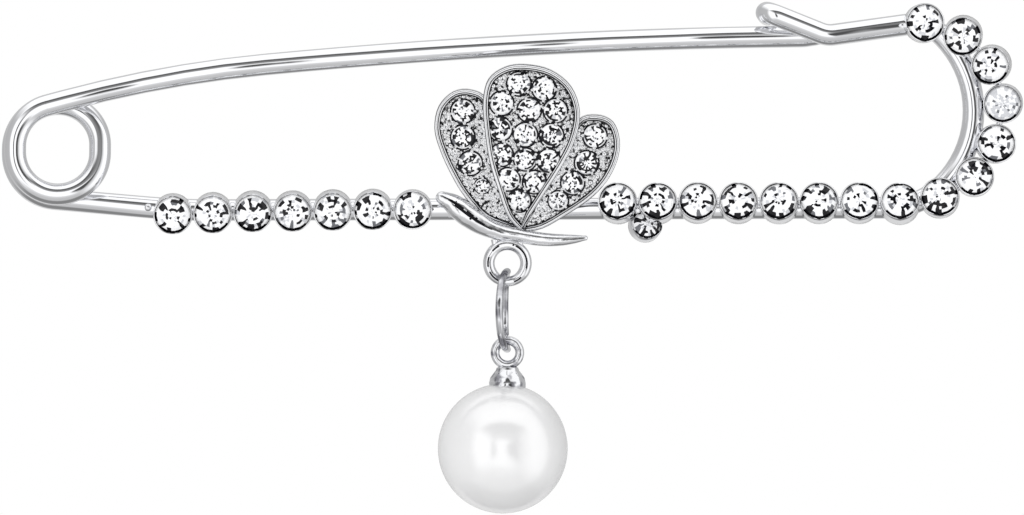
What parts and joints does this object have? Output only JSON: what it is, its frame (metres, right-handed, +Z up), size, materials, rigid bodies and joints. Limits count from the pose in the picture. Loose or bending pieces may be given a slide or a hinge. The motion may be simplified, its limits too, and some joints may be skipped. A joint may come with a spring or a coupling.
{
  "type": "safety pin brooch",
  "caption": "Bent wire safety pin brooch with two runs of cup stones, a pierced butterfly set with small stones, and a pearl that hangs on a jump ring.",
  "frame": {"origin": "on the centre line of the pin, at the middle of the stretch where the cloth hangs from it", "axes": "+Z up as worn, +X from the spring coil towards the hook, front of the brooch towards -Y"},
  "size_m": [0.0798, 0.0102, 0.04],
  "materials": {
    "silver": "polished bright white plating",
    "stone": "clear cut glass with a foiled back",
    "pearl": "soft pearly lustre"
  },
  "bodies": {
    "brooch": {"frame": "silver", "left_stone_1": "stone", "left_stone_2": "stone", "left_stone_3": "stone", "left_stone_4": "stone", "left_stone_5": "stone", "left_stone_6": "stone", "left_stone_7": "stone", "right_stone_1": "stone", "right_stone_2": "stone", "right_stone_3": "stone", "right_stone_4": "stone", "right_stone_5": "stone", "right_stone_6": "stone", "right_stone_7": "stone", "right_stone_8": "stone", "right_stone_9": "stone", "right_stone_10": "stone", "right_stone_11": "stone", "right_stone_12": "stone", "right_stone_13": "stone", "right_stone_14": "stone", "right_stone_15": "stone", "low_stone": "stone", "left_wing_stones": "stone", "centre_wing_stones": "stone", "right_wing_stones": "stone"},
    "coil": {"spring_coil": "silver"},
    "pin": {"pin_arm": "silver"},
    "ring": {"jump_ring": "silver"},
    "drop": {"pearl_cap": "silver", "pearl": "pearl"}
  },
  "joints": [
    {"name": "pin_press", "type": "hinge", "parent": "brooch", "child": "coil", "pos_m": [-0.0355, -0.00165, -0.00808], "axis": [0, 1, 0], "range_deg": [0, 5], "stiffness_Nm_per_rad": 0.02, "springref_deg": -17.76, "deforming": ["spring_coil"]},
    {"name": "pin_side", "type": "hinge", "parent": "coil", "child": "pin", "pos_m": [-0.03631, -0.00165, -0.00465], "axis": [0, 0, 1], "range_deg": [0, 12], "stiffness_Nm_per_rad": 0.02, "springref_deg": -2.86, "deforming": ["spring_coil"]},
    {"name": "ring_swing", "type": "hinge", "parent": "brooch", "child": "ring", "pos_m": [-0.00039, -0.00122, -0.01841], "axis": [1, 0, 0], "range_deg": [-60, 60]},
    {"name": "pearl_swing", "type": "hinge", "parent": "ring", "child": "drop", "pos_m": [-0.00039, -0.00122, -0.02369], "axis": [0, 1, 0], "range_deg": [-60, 60]}
  ]
}
